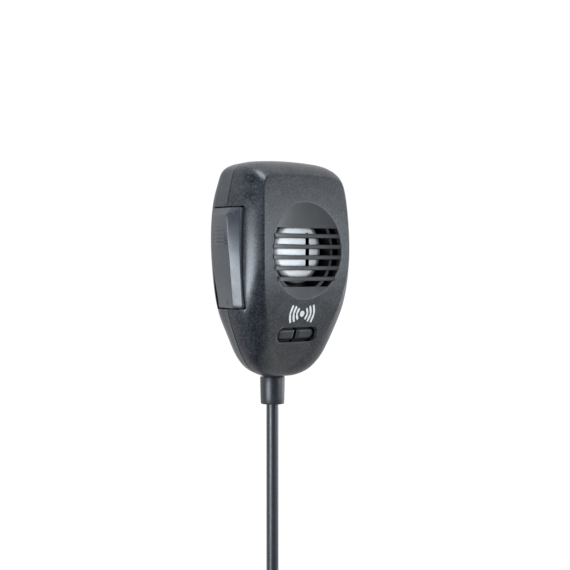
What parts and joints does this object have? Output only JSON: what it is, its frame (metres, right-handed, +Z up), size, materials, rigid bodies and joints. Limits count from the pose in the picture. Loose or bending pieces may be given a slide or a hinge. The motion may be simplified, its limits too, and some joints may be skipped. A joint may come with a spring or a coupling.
{
  "type": "hand microphone",
  "caption": "Hand microphone with a slotted grille, side press-to-talk lever, channel keys, hang-up stud and a curly cord with a round locking plug.",
  "frame": {"origin": "centre of the hang-up stud's flat outer face, where the microphone is held", "axes": "+Z up, +Y out of the back along the stud's axis, -Y out of the face, +X to the right seen from the front"},
  "size_m": [0.0768, 0.0581, 0.2985],
  "materials": {
    "case_textured": "finely textured charcoal moulding",
    "case_smooth": "smoother satin charcoal moulding",
    "key_plastic": "satin black keys",
    "rubber": "matt black rubber",
    "boot_rubber": "satin moulded rubber",
    "cord_jacket": "satin polyurethane cord jacket",
    "strap": "woven hook and loop strap",
    "steel": "zinc plated steel",
    "bright_metal": "bright nickel plate",
    "laminate": "green solder-masked laminate",
    "black_plastic": "black moulding",
    "light_plastic": "ivory moulding",
    "wire_red": "red insulation",
    "wire_white": "white insulation",
    "wire_blue": "blue insulation"
  },
  "bodies": {
    "housing": {"front_shell": "case_textured", "back_shell": "case_smooth", "ptt_bracket": "steel", "ptt_pivot_pin": "steel", "ptt_return_spring": "steel", "ptt_spring_seat": "black_plastic", "ptt_switch_body": "black_plastic", "tact_switch_left": "black_plastic", "tact_switch_right": "black_plastic", "capsule_cap": "bright_metal", "capsule_body": "black_plastic", "capsule_rubber_ring": "rubber", "capsule_retainer": "steel", "circuit_board": "laminate", "board_screw_1": "steel", "board_screw_2": "steel", "board_screw_3": "steel", "amplifier_chip": "black_plastic", "smoothing_capacitor": "black_plastic", "cord_connector": "light_plastic", "shell_screw_1": "steel", "shell_screw_2": "steel", "shell_screw_3": "steel", "shell_screw_4": "steel", "hang_up_stud": "steel", "stud_washer": "steel", "stud_screw": "steel", "cord_boot": "boot_rubber", "cord_inner_end": "cord_jacket", "cord_clamp": "steel", "clamp_screw_1": "steel", "clamp_screw_2": "steel", "cord_wire_red": "wire_red", "cord_wire_white": "wire_white", "cord_wire_blue": "wire_blue", "cord_lead": "cord_jacket", "curly_cord": "cord_jacket", "cord_tail": "cord_jacket", "cord_tie": "strap", "plug_boot": "boot_rubber", "plug_barrel": "bright_metal", "plug_insert": "black_plastic"},
    "ptt_lever": {"ptt_lever": "case_smooth"},
    "ptt_plunger": {"ptt_switch_plunger": "light_plastic"},
    "left_key": {"channel_key_left": "key_plastic", "tact_plunger_left": "light_plastic"},
    "right_key": {"channel_key_right": "key_plastic", "tact_plunger_right": "light_plastic"},
    "coupling_ring": {"plug_coupling_ring": "bright_metal"}
  },
  "joints": [
    {"name": "ptt_press", "type": "hinge", "parent": "housing", "child": "ptt_lever", "pos_m": [-0.0258, -0.0225, -0.0276], "axis": [0, 1, 0], "range_deg": [0, 4], "stiffness_Nm_per_rad": 0.9, "deforming": ["ptt_return_spring"]},
    {"name": "ptt_switch_travel", "type": "slide", "parent": "housing", "child": "ptt_plunger", "axis": [1, 0, 0], "range_m": [0, 0.0019]},
    {"name": "left_key_press", "type": "slide", "parent": "housing", "child": "left_key", "axis": [0, 1, 0], "range_m": [0, 0.0007], "stiffness_N_per_m": 900},
    {"name": "right_key_press", "type": "slide", "parent": "housing", "child": "right_key", "axis": [0, 1, 0], "range_m": [0, 0.0007], "stiffness_N_per_m": 900},
    {"name": "coupling_ring_spin", "type": "hinge", "parent": "housing", "child": "coupling_ring", "pos_m": [0.03, -0.0485, -0.26929], "axis": [0, 0, 1], "continuous": true}
  ],
  "couplings": [
    {"joint": "ptt_switch_travel", "follows": "ptt_press", "m_per_rad": 0.0266}
  ]
}
